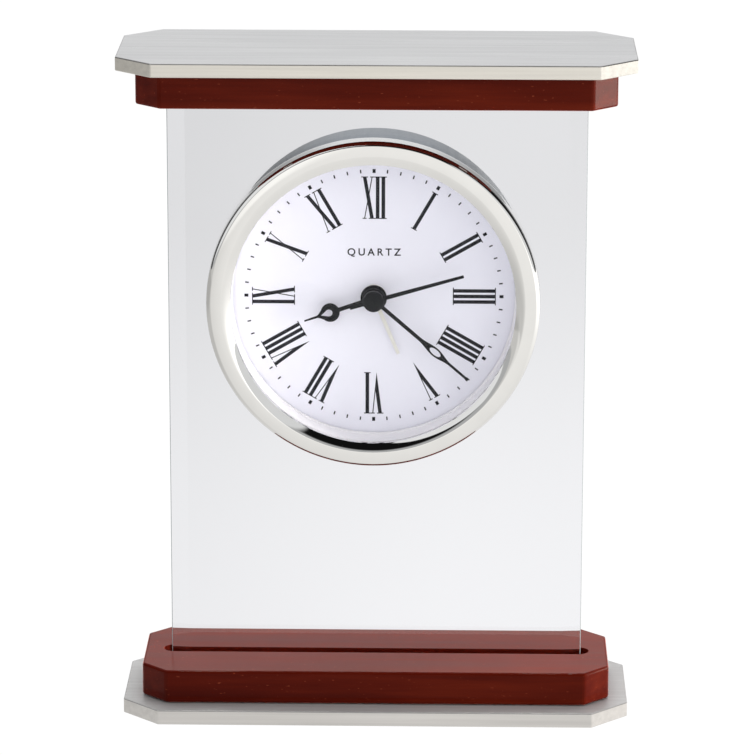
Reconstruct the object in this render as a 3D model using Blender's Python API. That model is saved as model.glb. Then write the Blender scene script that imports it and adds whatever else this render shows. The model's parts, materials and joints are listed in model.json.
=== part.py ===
"""Mantel clock: a glass panel between two wood-and-metal slabs carries a round quartz alarm insert.

X runs to the right, Y to the back and Z up. Sizes are in millimetres and become metres in the mesh.
The insert's axis runs along Y, and clock angles count clockwise from twelve, seen from the front.
"""
import math

import bmesh
import bpy

MM = 0.001
GAP = 0.3                       # clearance between neighbouring solids

# Stand
PLATE_WIDTH = 152.4
PLATE_DEPTH = 57.2
PLATE_CHAMFER = 11.0
BLOCK_WIDTH = 141.2
BLOCK_DEPTH = 44.0
BLOCK_CHAMFER = 7.4
FOOT_HEIGHT = 1.6
FOOT_RADIUS = 6.5
FOOT_INSET = 17.0
BASE_PLATE_TOP = 6.1
BASE_BLOCK_TOP = 16.4
CAP_BLOCK_BOTTOM = 188.6
CAP_PLATE_BOTTOM = 199.1
CAP_PLATE_TOP = 203.2
SCREW_X = 42.0
SCREW_Y = 13.0

# Glass panel and the slots that hold it
GLASS_HALF_WIDTH = 62.4
GLASS_HALF_THICKNESS = 3.0
GLASS_BEVEL_WIDTH = 5.4
GLASS_BEVEL_DEPTH = 1.3
SLOT_HALF_LENGTH = 65.0
SLOT_DEPTH = 7.6
SEAT_THICKNESS = 0.7

# Clock insert: radii about its axis, and places along Y
AXIS_X = -1.0
AXIS_Z = 126.9
HOLE_RADIUS = 45.2
BEZEL_RADIUS = 49.9
BEZEL_OPENING = 42.5
BEZEL_FRONT = -9.6
SKIRT_RADIUS = 44.7
SKIRT_BACK = 10.0
BORE_RADIUS = 43.5
CRYSTAL_FRONT = -7.9
CRYSTAL_THICKNESS = 1.4
DIAL_FRONT = 3.6
DIAL_THICKNESS = 0.5
DIAL_HOLE = 3.3
DRUM_RADIUS = 46.9
DRUM_BORE = 45.0
DRUM_BACK = 28.4
GASKET_THICKNESS = 0.8
COVER_FRONT = 22.0
COVER_THICKNESS = 1.6
COVER_SCREW_RADIUS = 40.6
COVER_SCREW_ANGLES = (60.0, 180.0, 300.0)

# Movement: wheel teeth, modules, and the layers along Y
WHEEL_THICKNESS = 0.7
LAYER_ALARM = 6.2
LAYER_HOUR = 7.3
LAYER_CANNON = 8.4
LAYER_CENTRE = 9.5
LAYER_THIRD = 10.8
LAYER_SECONDS = 12.1
LAYER_ROTOR = 13.4
PLATE_FRONT = 4.6
PLATE_BACK = 5.8
BRIDGE_FRONT = 14.8
BRIDGE_BACK = 15.8
BOARD_FRONT = 18.8
BOARD_LEFT = -19.4
HOUSING_BACK = 21.6
HOUSING_HALF = 28.0
HOUSING_WALL = 1.2
DIVIDER_Z = -10.6
TRAIN_MODULE = 0.4
SECONDS_TEETH = 45
THIRD_TEETH = 45
CENTRE_TEETH = 48
LEAVES = 6
INTERMEDIATE_TEETH = 24
WORKS_MODULE = 0.48
CANNON_LEAVES = 10
WORKS_TEETH = 30
WORKS_LEAVES = 8
HOUR_TEETH = 32
ALARM_MODULE = 0.393
ALARM_TEETH = 40
ALARM_LEAVES = 30
ARBOR = 0.5

# Controls on the back
KNOB_FRONT = 24.0
KNOB_BACK = 27.9
KNOB_FLUTES = 16
SWITCH_X = -17.0
SWITCH_Z = 25.0
SWITCH_TRAVEL = 3.0
CELL_RADIUS = 7.0
CELL_LENGTH = 49.0
CELL_Y = 13.7
CELL_Z = -19.4
DOOR_HALF_WIDTH = 26.4
DOOR_TOP = -11.6
DOOR_BOTTOM = -28.0
SOUND_LEFT = 11.5
SOUND_BOTTOM = 20.0
SOUND_PITCH = 2.6
SOUND_ROWS = 5

# Hands: the time shown at rest, and the layer of each
ALARM_ANGLE = 157.0
HOUR_ANGLE = 251.0
MINUTE_ANGLE = 131.0
SECOND_ANGLE = 74.0
ALARM_HAND_Y = 2.0
HOUR_HAND_Y = 0.4
MINUTE_HAND_Y = -1.6
SECOND_HAND_Y = -3.3
HAND_THICKNESS = 0.4


def material(name, colour, roughness, metallic=0.0, transmission=0.0):
    """Make a Principled material."""
    mat = bpy.data.materials.new(name)
    mat.use_nodes = True
    shader = mat.node_tree.nodes["Principled BSDF"]
    shader.inputs["Base Color"].default_value = (*colour, 1.0)
    shader.inputs["Roughness"].default_value = roughness
    shader.inputs["Metallic"].default_value = metallic
    shader.inputs["Transmission Weight"].default_value = transmission
    return mat


def clear_scene():
    for obj in list(bpy.data.objects):
        bpy.data.objects.remove(obj, do_unlink=True)


def place(name, bm, mat, x=0.0, z=0.0, turn=0.0):
    """Turn a bmesh in millimetres into an object with its origin at x, z and a turn in degrees about Y."""
    bmesh.ops.remove_doubles(bm, verts=bm.verts, dist=1e-4)
    bmesh.ops.recalc_face_normals(bm, faces=bm.faces)
    bmesh.ops.scale(bm, vec=(MM, MM, MM), verts=bm.verts)
    mesh = bpy.data.meshes.new(name)
    bm.to_mesh(mesh)
    bm.free()
    mesh.materials.append(mat)
    mesh.shade_smooth()
    mesh.set_sharp_from_angle(angle=math.radians(32.0))
    obj = bpy.data.objects.new(name, mesh)
    bpy.context.scene.collection.objects.link(obj)
    obj.location = (x * MM, 0.0, z * MM)
    obj.rotation_euler = (0.0, math.radians(turn), 0.0)
    return obj


def combine(target, tool, operation):
    """Apply a Boolean between two objects and remove the tool."""
    bpy.context.view_layer.update()
    step = target.modifiers.new("Boolean", "BOOLEAN")
    step.operation = operation
    step.object = tool
    step.solver = "EXACT"
    bpy.context.view_layer.update()
    shaped = target.evaluated_get(bpy.context.evaluated_depsgraph_get())
    mesh = bpy.data.meshes.new_from_object(shaped)
    target.modifiers.remove(step)
    target.data = mesh
    bpy.data.objects.remove(tool, do_unlink=True)
    mesh.shade_smooth()
    mesh.set_sharp_from_angle(angle=math.radians(32.0))


def cut(target, tool):
    combine(target, tool, "DIFFERENCE")


def join(target, tool):
    combine(target, tool, "UNION")


def soften(obj, width, segments=2):
    """Round the sharp edges of a plain solid."""
    bevel = obj.modifiers.new("Bevel", "BEVEL")
    bevel.width = width * MM
    bevel.segments = segments
    bevel.limit_method = "ANGLE"
    bevel.angle_limit = math.radians(40.0)
    bpy.context.view_layer.update()
    shaped = obj.evaluated_get(bpy.context.evaluated_depsgraph_get())
    mesh = bpy.data.meshes.new_from_object(shaped)
    obj.modifiers.remove(bevel)
    obj.data = mesh


def turned(profile, segments=48):
    """Spin a closed profile of (radius, y) points about the Y axis. A radius of zero is a pole."""
    bm = bmesh.new()
    rings = []
    for radius, y in profile:
        count = segments if radius > 0.0 else 1
        loop = []
        for step in range(count):
            angle = math.tau * step / segments
            loop.append(bm.verts.new((radius * math.cos(angle), y, radius * math.sin(angle))))
        rings.append(loop)
    for loop, following in zip(rings, rings[1:] + rings[:1]):
        if len(loop) == 1 and len(following) == 1:
            continue
        for step in range(segments):
            after = (step + 1) % segments
            if len(loop) == 1:
                bm.faces.new((loop[0], following[step], following[after]))
            elif len(following) == 1:
                bm.faces.new((loop[step], following[0], loop[after]))
            else:
                bm.faces.new((loop[step], following[step], following[after], loop[after]))
    return bm


def extruded(outline, start, end, holes=(), along="Y"):
    """Extrude a flat outline, with holes in it, from start to end along Y or Z."""
    bm = bmesh.new()
    edges = []
    for loop in (outline, *holes):
        if along == "Y":
            verts = [bm.verts.new((u, start, v)) for u, v in loop]
        else:
            verts = [bm.verts.new((u, v, start)) for u, v in loop]
        edges += [bm.edges.new(pair) for pair in zip(verts, verts[1:] + verts[:1])]
    if holes:
        bmesh.ops.triangle_fill(bm, use_beauty=True, edges=edges)
    else:
        bm.faces.new(bm.verts)
    region = bmesh.ops.extrude_face_region(bm, geom=list(bm.faces))["geom"]
    moved = [item for item in region if isinstance(item, bmesh.types.BMVert)]
    shift = (0.0, end - start, 0.0) if along == "Y" else (0.0, 0.0, end - start)
    bmesh.ops.translate(bm, vec=shift, verts=moved)
    return bm


def tube(path, radius, sides=6):
    """Sweep a round section along a list of points, with flat ends."""
    bm = bmesh.new()
    rings = []
    for index, (x, y, z) in enumerate(path):
        before = path[max(index - 1, 0)]
        after = path[min(index + 1, len(path) - 1)]
        heading = [b - a for a, b in zip(before, after)]
        size = math.hypot(*heading)
        ux, uy, uz = (value / size for value in heading)
        side = math.hypot(uy, uz)
        across = (0.0, uz / side, -uy / side)
        up = (uy * across[2] - uz * across[1], uz * across[0] - ux * across[2],
              ux * across[1] - uy * across[0])
        loop = []
        for step in range(sides):
            angle = math.tau * step / sides
            offset = [math.cos(angle) * a + math.sin(angle) * b for a, b in zip(across, up)]
            loop.append(bm.verts.new([c + radius * o for c, o in zip((x, y, z), offset)]))
        rings.append(loop)
    for loop, following in zip(rings, rings[1:]):
        for step in range(sides):
            after = (step + 1) % sides
            bm.faces.new((loop[step], loop[after], following[after], following[step]))
    bm.faces.new(rings[0])
    bm.faces.new(rings[-1])
    return bm


def rod(radius, start, end, segments=24):
    return turned([(0.0, start), (radius, start), (radius, end), (0.0, end)], segments)


def ring(outer, inner, start, end, segments=40):
    return turned([(outer, start), (outer, end), (inner, end), (inner, start)], segments)


def circle(radius, count, x=0.0, z=0.0):
    angles = [math.tau * step / count for step in range(count)]
    return [(x + radius * math.cos(angle), z + radius * math.sin(angle)) for angle in angles]


def rectangle(left, bottom, right, top):
    return [(left, bottom), (right, bottom), (right, top), (left, top)]


def octagon(width, depth, chamfer):
    """Rectangle with its four corners cut at 45 degrees."""
    half_x, half_y = width / 2, depth / 2
    quarter = [(half_x, half_y - chamfer), (half_x - chamfer, half_y)]
    points = []
    for sign_x, sign_y in ((1, 1), (-1, 1), (-1, -1), (1, -1)):
        corner = [(sign_x * x, sign_y * y) for x, y in quarter]
        points += corner if sign_x * sign_y > 0 else corner[::-1]
    return points


def stadium(half_length, half_width, count=12):
    """Slot outline with round ends."""
    points = []
    for centre, start in ((half_length - half_width, -90.0), (half_width - half_length, 90.0)):
        for step in range(count + 1):
            angle = math.radians(start + 180.0 * step / count)
            points.append((centre + half_width * math.cos(angle), half_width * math.sin(angle)))
    return points


def towards(angle, distance):
    """Offset from the insert's axis at a clock angle."""
    turn = math.radians(angle)
    return distance * math.sin(turn), distance * math.cos(turn)


def gear(teeth, module, phase, start, end):
    """Toothed disc with one tooth centred on phase, which is in radians from +X towards +Z."""
    pitch = math.tau / teeth
    root = module * (teeth / 2 - 1.15)
    tip = module * (teeth / 2 + 0.85)
    points = []
    for tooth in range(teeth):
        centre = phase + tooth * pitch
        for radius, offset in ((root, -0.26), (tip, -0.12), (tip, 0.12), (root, 0.26)):
            angle = centre + offset * pitch
            points.append((radius * math.cos(angle), radius * math.sin(angle)))
    return extruded(points, start, end)


def meshing_phase(driver_teeth, driver_phase, teeth, heading):
    """Phase that puts a gap of the driven gear where the driver has a tooth, along their heading."""
    return heading + math.pi - (driver_phase - heading) * driver_teeth / teeth + math.pi / teeth


def mesh_offset(driver, driven, module, heading):
    """Place of a driven gear's centre from its driver's."""
    distance = module * (driver + driven) / 2
    return distance * math.cos(heading), distance * math.sin(heading)


def train_layout():
    """Work out where each wheel sits from the axis, and the phase of its teeth."""
    places = {"centre": (0.0, 0.0)}
    phases = {}
    heading = math.radians(150.0)
    places["intermediate"] = mesh_offset(SECONDS_TEETH, LEAVES, TRAIN_MODULE, heading)
    phases["seconds"] = heading
    phases["intermediate_leaves"] = meshing_phase(SECONDS_TEETH, heading, LEAVES, heading)
    heading = math.pi
    step = mesh_offset(INTERMEDIATE_TEETH, LEAVES, TRAIN_MODULE, heading)
    places["rotor"] = tuple(a + b for a, b in zip(places["intermediate"], step))
    phases["intermediate"] = heading
    phases["rotor"] = meshing_phase(INTERMEDIATE_TEETH, heading, LEAVES, heading)
    heading = math.radians(20.0)
    places["third"] = mesh_offset(LEAVES, THIRD_TEETH, TRAIN_MODULE, heading)
    phases["seconds_leaves"] = heading
    phases["third"] = meshing_phase(LEAVES, heading, THIRD_TEETH, heading)
    phases["centre"] = heading
    phases["third_leaves"] = meshing_phase(CENTRE_TEETH, heading, LEAVES, heading)
    heading = math.radians(100.0)
    places["works"] = mesh_offset(CANNON_LEAVES, WORKS_TEETH, WORKS_MODULE, heading)
    phases["cannon"] = heading
    phases["works"] = meshing_phase(CANNON_LEAVES, heading, WORKS_TEETH, heading)
    phases["hour"] = heading
    phases["works_leaves"] = meshing_phase(HOUR_TEETH, heading, WORKS_LEAVES, heading)
    heading = math.radians(80.0)
    step = mesh_offset(WORKS_TEETH, CANNON_LEAVES, WORKS_MODULE, heading)
    places["time_knob"] = tuple(a + b for a, b in zip(places["works"], step))
    phases["time_knob"] = meshing_phase(WORKS_TEETH, phases["works"], CANNON_LEAVES, heading)
    heading = math.radians(193.0)
    places["alarm_knob"] = mesh_offset(ALARM_TEETH, ALARM_LEAVES, ALARM_MODULE, heading)
    phases["alarm"] = heading
    phases["alarm_knob"] = meshing_phase(ALARM_TEETH, heading, ALARM_LEAVES, heading)
    return places, phases


def make_materials():
    return {
        "plate": material("brushed_nickel", (0.62, 0.61, 0.58), 0.34, 1.0),
        "wood": material("rosewood", (0.105, 0.012, 0.006), 0.3),
        "glass": material("panel_glass", (0.93, 0.95, 0.95), 0.02, 0.0, 1.0),
        "rubber": material("black_rubber", (0.02, 0.02, 0.02), 0.85),
        "seat": material("clear_seat", (0.3, 0.3, 0.3), 0.7),
        "steel": material("screw_steel", (0.55, 0.55, 0.56), 0.35, 1.0),
        "chrome": material("polished_chrome", (0.86, 0.86, 0.86), 0.05, 1.0),
        "ring": material("pale_ring", (0.78, 0.78, 0.8), 0.4),
        "dial": material("white_dial", (0.84, 0.84, 0.92), 0.55),
        "drum": material("silver_drum", (0.36, 0.38, 0.41), 0.35, 0.6),
        "black_plastic": material("black_plastic", (0.02, 0.02, 0.022), 0.5),
        "gear_plastic": material("gear_plastic", (0.75, 0.74, 0.7), 0.45),
        "brass": material("brass", (0.75, 0.55, 0.22), 0.3, 1.0),
        "copper": material("coil_copper", (0.7, 0.3, 0.12), 0.4, 0.8),
        "board": material("circuit_board", (0.02, 0.16, 0.06), 0.5),
        "black_hand": material("black_hand", (0.01, 0.01, 0.01), 0.4),
        "grey_hand": material("grey_hand", (0.72, 0.72, 0.71), 0.4),
        "grey_plastic": material("grey_plastic", (0.54, 0.54, 0.53), 0.45),
        "magnet": material("magnet", (0.04, 0.04, 0.04), 0.6),
        "cell": material("cell_wrap", (0.05, 0.07, 0.16), 0.35),
    }


def countersunk_screw(name, mat, x, y, head_z, point_z):
    """Flat-headed screw along Z, with its head face at head_z and a cross slot in it."""
    sign = 1.0 if point_z > head_z else -1.0
    length = abs(point_z - head_z)
    profile = [(0.0, 0.0), (3.4, 0.0), (1.5, 1.9), (1.5, length), (0.0, length)]
    screw = place(name, turned(profile, 14), mat)
    for outline in (rectangle(-2.0, -0.35, 2.0, 0.35), rectangle(-0.35, -2.0, 0.35, 2.0)):
        cut(screw, place(name + "_slot", extruded(outline, -0.5, 0.8), mat))
    screw.rotation_euler = (sign * math.pi / 2, 0.0, 0.0)
    screw.location = (x * MM, y * MM, head_z * MM)


def screw_seat(name, mat, x, y, head_z, point_z):
    """Cutter for a countersunk screw's hole."""
    sign = 1.0 if point_z > head_z else -1.0
    depth = abs(point_z - head_z) + GAP
    profile = [(0.0, -1.0), (3.7, -1.0), (3.7, 0.0), (1.8, 1.9), (1.8, depth), (0.0, depth)]
    seat = place(name, turned(profile, 14), mat)
    seat.rotation_euler = (sign * math.pi / 2, 0.0, 0.0)
    seat.location = (x * MM, y * MM, head_z * MM)
    return seat


def corner_signs():
    return (("front_left", -1, -1), ("front_right", 1, -1), ("rear_left", -1, 1), ("rear_right", 1, 1))


def build_stand(mats):
    """Metal plates, wooden blocks, their screws, the feet and the seats of the glass."""
    plate_outline = octagon(PLATE_WIDTH, PLATE_DEPTH, PLATE_CHAMFER)
    block_outline = octagon(BLOCK_WIDTH, BLOCK_DEPTH, BLOCK_CHAMFER)

    def slab(name, outline, bottom, top, mat, easing):
        made = place(name, extruded(outline, bottom, top, along="Z"), mats[mat])
        soften(made, easing)
        return made

    base_plate = slab("base_plate", plate_outline, FOOT_HEIGHT, BASE_PLATE_TOP, "plate", 0.3)
    base_block = slab("base_block", block_outline, BASE_PLATE_TOP + GAP, BASE_BLOCK_TOP, "wood", 0.7)
    cap_block = slab("cap_block", block_outline, CAP_BLOCK_BOTTOM, CAP_PLATE_BOTTOM - GAP, "wood", 0.7)
    cap_plate = slab("cap_plate", plate_outline, CAP_PLATE_BOTTOM, CAP_PLATE_TOP, "plate", 0.3)

    slot = stadium(SLOT_HALF_LENGTH, GLASS_HALF_THICKNESS + GAP)
    base_floor = BASE_BLOCK_TOP - SLOT_DEPTH
    cap_floor = CAP_BLOCK_BOTTOM + SLOT_DEPTH
    base_slot = extruded(slot, base_floor, BASE_BLOCK_TOP + 1.0, along="Z")
    cut(base_block, place("base_slot", base_slot, mats["wood"]))
    cap_slot = extruded(slot, CAP_BLOCK_BOTTOM - 1.0, cap_floor, along="Z")
    cut(cap_block, place("cap_slot", cap_slot, mats["wood"]))
    seat = stadium(SLOT_HALF_LENGTH - GAP, GLASS_HALF_THICKNESS, 8)
    lower = base_floor + GAP
    place("glass_seat_lower", extruded(seat, lower, lower + SEAT_THICKNESS, along="Z"), mats["seat"])
    upper = cap_floor - GAP
    place("glass_seat_upper", extruded(seat, upper - SEAT_THICKNESS, upper, along="Z"), mats["seat"])

    for corner, side, depth in corner_signs():
        x, y = side * SCREW_X, depth * SCREW_Y
        base_head, base_point = FOOT_HEIGHT + 0.1, BASE_BLOCK_TOP - 3.4
        cap_head, cap_point = CAP_BLOCK_BOTTOM + 0.1, CAP_PLATE_TOP - 1.4
        for block in (base_plate, base_block):
            cut(block, screw_seat("base_hole", mats["steel"], x, y, base_head, base_point))
        for block in (cap_plate, cap_block):
            cut(block, screw_seat("cap_hole", mats["steel"], x, y, cap_head, cap_point))
        countersunk_screw("base_screw_" + corner, mats["steel"], x, y, base_head, base_point)
        countersunk_screw("cap_screw_" + corner, mats["steel"], x, y, cap_head, cap_point)
        foot_x = side * (PLATE_WIDTH / 2 - FOOT_INSET)
        foot_y = depth * (PLATE_DEPTH / 2 - FOOT_INSET / 1.4)
        foot = place("foot_" + corner, extruded(circle(FOOT_RADIUS, 28), 0.0, FOOT_HEIGHT - GAP, along="Z"),
                     mats["rubber"])
        foot.location = (foot_x * MM, foot_y * MM, 0.0)


def build_glass(mats):
    """Glass panel with bevelled front edges and the hole for the insert."""
    half, back, front = GLASS_HALF_WIDTH, GLASS_HALF_THICKNESS, -GLASS_HALF_THICKNESS
    inner, shoulder = half - GLASS_BEVEL_WIDTH, front + GLASS_BEVEL_DEPTH
    outline = [(-half, back), (-half, shoulder), (-inner, front),
               (inner, front), (half, shoulder), (half, back)]
    bottom = BASE_BLOCK_TOP - SLOT_DEPTH + SEAT_THICKNESS + 2 * GAP
    top = CAP_BLOCK_BOTTOM + SLOT_DEPTH - SEAT_THICKNESS - 2 * GAP
    panel = place("glass_panel", extruded(outline, bottom, top, along="Z"), mats["glass"])
    cut(panel, place("glass_hole", rod(HOLE_RADIUS, -9.0, 9.0, 96), mats["glass"], AXIS_X, AXIS_Z))


def arc(centre, radius, start, end, count):
    """Points on an arc of a (radius, y) profile, with angles in degrees from outward towards the back."""
    points = []
    for step in range(count + 1):
        angle = math.radians(start + (end - start) * step / count)
        points.append((centre[0] + radius * math.cos(angle), centre[1] + radius * math.sin(angle)))
    return points


def bezel_profile():
    """Rounded shoulder, flat outer band, sloping inner band, crystal groove and the skirt behind."""
    shoulder = arc((BEZEL_RADIUS - 1.8, BEZEL_FRONT + 1.8), 1.8, 15.0, -85.0, 5)
    return [
        (48.7, -GLASS_HALF_THICKNESS - GAP),
        *shoulder,
        (45.7, BEZEL_FRONT), (44.9, BEZEL_FRONT + 0.1),
        (BEZEL_OPENING + 0.5, BEZEL_FRONT + 0.9), (BEZEL_OPENING, BEZEL_FRONT + 1.3),
        (BEZEL_OPENING, CRYSTAL_FRONT - GAP), (BORE_RADIUS, CRYSTAL_FRONT - GAP),
        (BORE_RADIUS, SKIRT_BACK), (SKIRT_RADIUS, SKIRT_BACK),
        (SKIRT_RADIUS, -4.5), (48.0, -4.5), (48.0, -GLASS_HALF_THICKNESS - GAP),
    ]


def build_case(mats):
    """Bezel, crystal, dial, drum and the rings between them."""
    x, z = AXIS_X, AXIS_Z
    place("bezel", turned(bezel_profile(), 64), mats["chrome"], x, z)
    glass_front = -GLASS_HALF_THICKNESS - GAP
    front_ring = ring(47.7, 45.0, glass_front - GASKET_THICKNESS, glass_front)
    place("front_gasket", front_ring, mats["rubber"], x, z)
    crystal_back = CRYSTAL_FRONT + CRYSTAL_THICKNESS
    place("crystal", rod(BORE_RADIUS - GAP, CRYSTAL_FRONT, crystal_back, 64), mats["glass"], x, z)
    pale = ring(BORE_RADIUS - GAP, BEZEL_OPENING + 0.1, crystal_back + GAP, DIAL_FRONT - GAP)
    place("inner_wall_ring", pale, mats["ring"], x, z)
    dial = ring(BORE_RADIUS - GAP, DIAL_HOLE, DIAL_FRONT, DIAL_FRONT + DIAL_THICKNESS)
    place("dial", dial, mats["dial"], x, z)
    glass_back = GLASS_HALF_THICKNESS + GAP
    rear_ring = ring(DRUM_RADIUS - 0.2, DRUM_BORE, glass_back, glass_back + GASKET_THICKNESS)
    place("rear_gasket", rear_ring, mats["rubber"], x, z)

    drum_front = glass_back + GASKET_THICKNESS + GAP
    profile = [(DRUM_RADIUS, drum_front), (DRUM_RADIUS, DRUM_BACK - 0.5), (DRUM_RADIUS - 0.5, DRUM_BACK),
               (DRUM_BORE, DRUM_BACK), (DRUM_BORE, drum_front)]
    drum = place("case_drum", turned(profile, 64), mats["drum"], x, z)
    for angle in COVER_SCREW_ANGLES:
        across, up = towards(angle, COVER_SCREW_RADIUS)
        boss = circle(3.0, 20, across, up)
        tangent, lift = towards(angle + 90.0, 3.0)
        out_x, out_z = towards(angle, DRUM_BORE + 0.8 - COVER_SCREW_RADIUS)
        web = [(across - tangent, up - lift), (across + tangent, up + lift),
               (across + tangent + out_x, up + lift + out_z), (across - tangent + out_x, up - lift + out_z)]
        boss_front = SKIRT_BACK + 1.0
        boss_back = COVER_FRONT - GAP
        join(drum, place("web", extruded(web, boss_front, boss_back), mats["drum"], x, z))
        join(drum, place("boss", extruded(boss, boss_front - 0.4, boss_back), mats["drum"], x, z))
        hole = rod(1.4, boss_front + 2.0, boss_back + 1.0, 16)
        cut(drum, place("boss_hole", hole, mats["drum"], x + across, z + up))


def build_cover(mats, places):
    """Rear cover with its openings, screws and the sliding battery door."""
    x, z = AXIS_X, AXIS_Z
    back = COVER_FRONT + COVER_THICKNESS
    slot_half = SWITCH_TRAVEL / 2 + 2.0 + GAP
    holes = [
        rectangle(-DOOR_HALF_WIDTH + 1.6, DOOR_BOTTOM + 1.8, DOOR_HALF_WIDTH - 1.6, DOOR_TOP - 1.4),
        rectangle(SWITCH_X - slot_half, SWITCH_Z - 1.5 - GAP, SWITCH_X + slot_half, SWITCH_Z + 1.5 + GAP),
        *(circle(1.7, 20, *places[knob]) for knob in ("time_knob", "alarm_knob")),
        *(circle(1.4, 20, *towards(angle, COVER_SCREW_RADIUS)) for angle in COVER_SCREW_ANGLES),
        *(rectangle(SOUND_LEFT, height, SOUND_LEFT + 13.0, height + 1.1)
          for height in (SOUND_BOTTOM + SOUND_PITCH * row for row in range(SOUND_ROWS))),
    ]
    panel = extruded(circle(DRUM_BORE - GAP, 64), COVER_FRONT, back, holes)
    cover = place("rear_cover", panel, mats["black_plastic"], x, z)
    for number, angle in enumerate(COVER_SCREW_ANGLES, 1):
        across, up = towards(angle, COVER_SCREW_RADIUS)
        head = back + GAP
        profile = [(0.0, SKIRT_BACK + 4.0), (1.0, SKIRT_BACK + 4.6), (1.0, head), (2.3, head),
                   (2.3, head + 0.9), (1.6, head + 1.4), (0.0, head + 1.4)]
        screw = place(f"cover_screw_{number}", turned(profile, 20), mats["steel"], x + across, z + up)
        groove = extruded(rectangle(-2.6, -0.3, 2.6, 0.3), head + 0.8, head + 2.0)
        cut(screw, place("groove", groove, mats["steel"], x + across, z + up, 30.0 * number))
    rail = [(0.0, back - 0.4), (0.0, back + 2.6), (-1.9, back + 2.6), (-1.9, back + 1.8),
            (-1.2, back + 1.8), (-1.2, back - 0.4)]
    for side in (-1, 1):
        outer = DOOR_HALF_WIDTH + 1.5
        outline = [(side * (outer + u), v) for u, v in rail]
        bar = place("rail", extruded(outline, DOOR_BOTTOM - 1.0, DOOR_TOP, along="Z"),
                    mats["black_plastic"], x, z)
        join(cover, bar)

    door_front = back + GAP
    panel = rectangle(-DOOR_HALF_WIDTH, DOOR_BOTTOM, DOOR_HALF_WIDTH, DOOR_TOP)
    door = place("battery_door", extruded(panel, door_front, door_front + 1.2), mats["black_plastic"], x, z)
    for step in range(3):
        height = DOOR_TOP - 4.0 - 1.8 * step
        grip = extruded(rectangle(-7.0, height, 7.0, height + 0.8), door_front + 0.6, door_front + 1.9)
        join(door, place("grip", grip, mats["black_plastic"], x, z))


def build_knobs(mats, places, phases):
    """Setting knobs with their shafts and pinions, and the alarm switch."""
    sizes = {
        "time_knob": ("time_set_knob", 5.6, CANNON_LEAVES, WORKS_MODULE, LAYER_CANNON),
        "alarm_knob": ("alarm_set_knob", 4.6, ALARM_LEAVES, ALARM_MODULE, LAYER_ALARM),
    }
    for key, (name, radius, leaves, module, layer) in sizes.items():
        x, z = AXIS_X + places[key][0], AXIS_Z + places[key][1]
        profile = [(0.0, layer - 0.2), (0.8, layer - 0.2), (0.8, layer + 1.2), (1.3, layer + 1.2),
                   (1.3, KNOB_FRONT + 1.0), (0.0, KNOB_FRONT + 1.0)]
        knob = place(name, turned(profile, 16), mats["black_plastic"], x, z)
        pinion = gear(leaves, module, phases[key], layer, layer + WHEEL_THICKNESS)
        join(knob, place("pinion", pinion, mats["black_plastic"], x, z))
        flutes = []
        for step in range(2 * KNOB_FLUTES):
            angle = math.tau * step / (2 * KNOB_FLUTES)
            reach = radius if step % 2 else radius - 0.45
            flutes.append((reach * math.cos(angle), reach * math.sin(angle)))
        head = extruded(flutes, KNOB_FRONT, KNOB_BACK)
        join(knob, place("flutes", head, mats["black_plastic"], x, z))

    cover_back = COVER_FRONT + COVER_THICKNESS
    left = -SWITCH_TRAVEL / 2
    half_profile = [(4.0, COVER_FRONT - 1.2), (4.0, COVER_FRONT - GAP), (2.0, COVER_FRONT - GAP),
                    (2.0, cover_back + 1.6), (0.9, cover_back + 2.0)]
    profile = [(left + u, v) for u, v in half_profile]
    profile += [(left - u, v) for u, v in reversed(half_profile)]
    place("alarm_switch", extruded(profile, -1.5, 1.5, along="Z"), mats["grey_plastic"],
          AXIS_X + SWITCH_X, AXIS_Z + SWITCH_Z)


def wheel(name, mat, spot, profile, gears, segments=16):
    """Arbor or tube of one turned profile, joined to its toothed discs, at a spot from the axis."""
    x, z = AXIS_X + spot[0], AXIS_Z + spot[1]
    obj = place(name, turned(profile, segments), mat, x, z)
    bore = min(radius for radius, _ in profile)
    for teeth, module, phase, layer in gears:
        disc = place("disc", gear(teeth, module, phase, layer, layer + WHEEL_THICKNESS), mat, x, z)
        if bore > 0.0:
            cut(disc, place("bore", rod(bore + 0.1, layer - 1.0, layer + 2.0, segments), mat, x, z))
        join(obj, disc)
    return obj


def solid_arbor(radius, start, end, hub_start, hub_end, hub):
    return [(0.0, start), (radius, start), (radius, hub_start), (hub, hub_start), (hub, hub_end),
            (radius, hub_end), (radius, end), (0.0, end)]


def sleeve(outer, inner, start, end):
    return [(outer, start), (outer, end), (inner, end), (inner, start)]


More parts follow.
